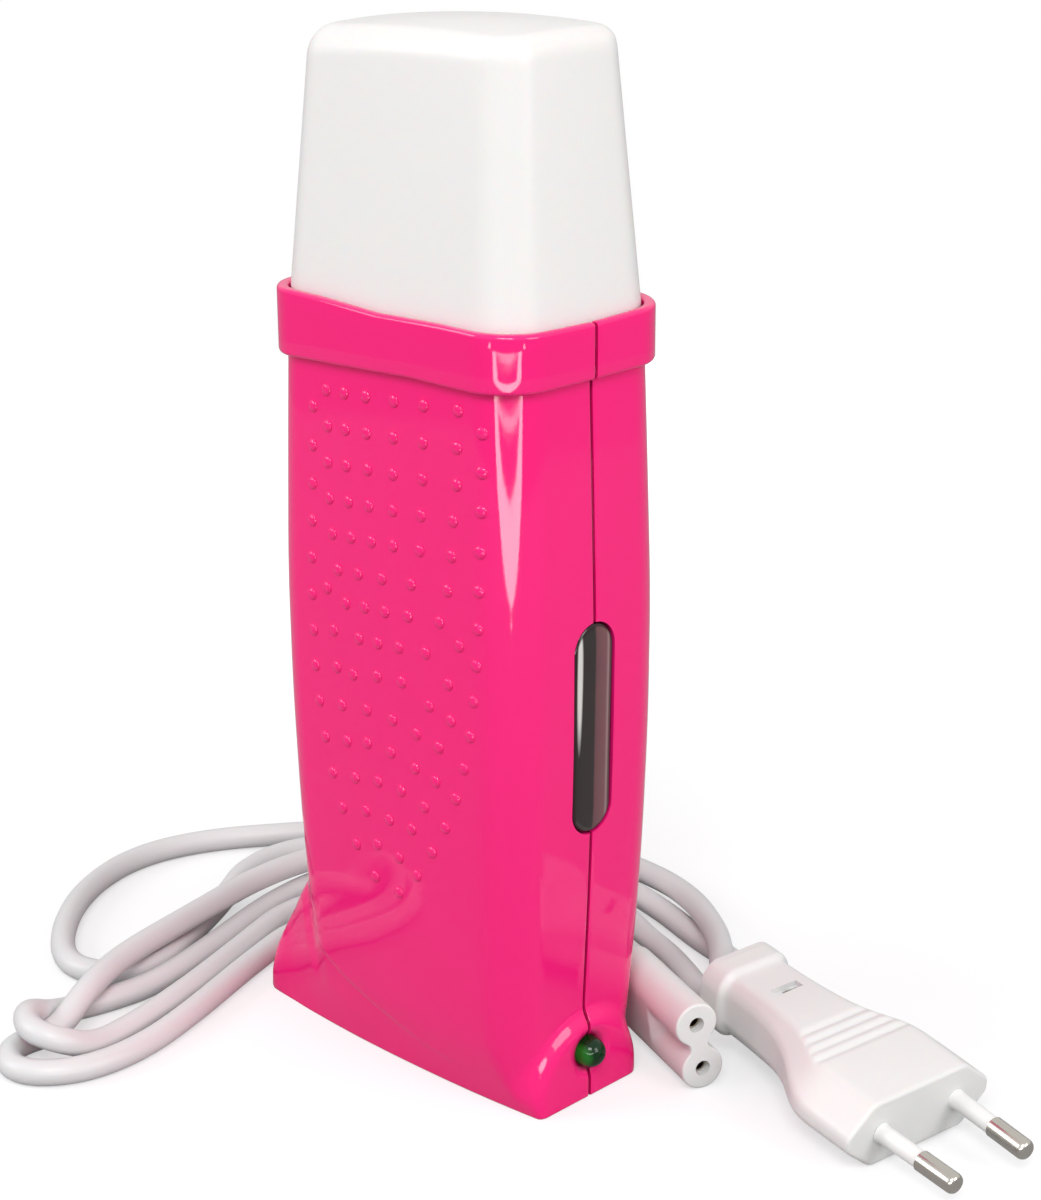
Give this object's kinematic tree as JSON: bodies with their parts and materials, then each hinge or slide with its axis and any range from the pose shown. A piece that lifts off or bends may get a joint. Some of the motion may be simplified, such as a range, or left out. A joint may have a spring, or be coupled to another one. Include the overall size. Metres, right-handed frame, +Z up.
{
  "type": "roll-on wax heater",
  "caption": "Upright handheld heater for roll-on wax cartridges: tall oval shell on a toed foot, lift-off milky cap, level window, green lamp and a loose mains lead.",
  "frame": {"origin": "on the floor under the middle of the heater's own outline, without the mains lead", "axes": "+Z up through the cap; +X towards the narrow side with the level window and the lamp; -Y is the broad side that faces the viewer"},
  "size_m": [0.2226, 0.1547, 0.2005],
  "materials": {
    "pink_shell": "glossy moulded ABS",
    "milky_cap": "milky translucent polypropylene",
    "window_lens": "smoked clear lens",
    "green_lens": "green tinted lamp",
    "circuit_board": "glass-epoxy board",
    "tinned_wire": "tinned wire",
    "resistor_body": "coated resistor",
    "aluminium_sheet": "drawn sheet",
    "orange_film": "polyimide film",
    "ceramic_plate": "heating ceramic in a foil jacket",
    "spring_steel": "spring strip",
    "cutout_case": "moulded case",
    "dark_moulding": "black heat-proof moulding",
    "nickel_pins": "nickel-plated brass",
    "screw_steel": "zinc-plated screw",
    "brown_sleeve": "wire insulation",
    "blue_sleeve": "wire insulation",
    "white_sleeve": "wire insulation",
    "white_pvc": "moulded soft PVC",
    "cord_pvc": "soft PVC sheath",
    "contact_brass": "rolled spring contacts",
    "white_nylon": "insulating sleeve"
  },
  "bodies": {
    "housing": {"front_shell": "pink_shell", "rear_shell": "pink_shell", "level_window": "window_lens", "indicator_led": "green_lens", "led_board": "circuit_board", "led_leads": "tinned_wire", "dropping_resistor": "resistor_body", "warming_chamber": "aluminium_sheet", "insulation_film": "orange_film", "heating_element": "ceramic_plate", "heater_clip": "spring_steel", "thermal_cutout": "cutout_case", "appliance_inlet": "dark_moulding", "inlet_pins": "nickel_pins", "shell_screws": "screw_steel", "live_wire": "brown_sleeve", "neutral_wire": "blue_sleeve", "led_wires": "white_sleeve"},
    "cap_part": {"cap": "milky_cap"},
    "mains_lead": {"mains_cord": "cord_pvc", "connector_body": "white_pvc", "connector_contacts": "contact_brass", "connector_relief": "white_pvc", "plug_body": "white_pvc", "plug_pins": "nickel_pins", "pin_sleeves": "white_nylon"}
  },
  "joints": [
    {"name": "cap_pull", "type": "slide", "parent": "housing", "child": "cap_part", "axis": [0, 0, 1], "range_m": [0, 0.07]},
    {"name": "lead_slide", "type": "slide", "parent": "housing", "child": "mains_lead", "axis": [-0.7071, 0.7071, 0], "range_m": [0, 0.1]}
  ]
}
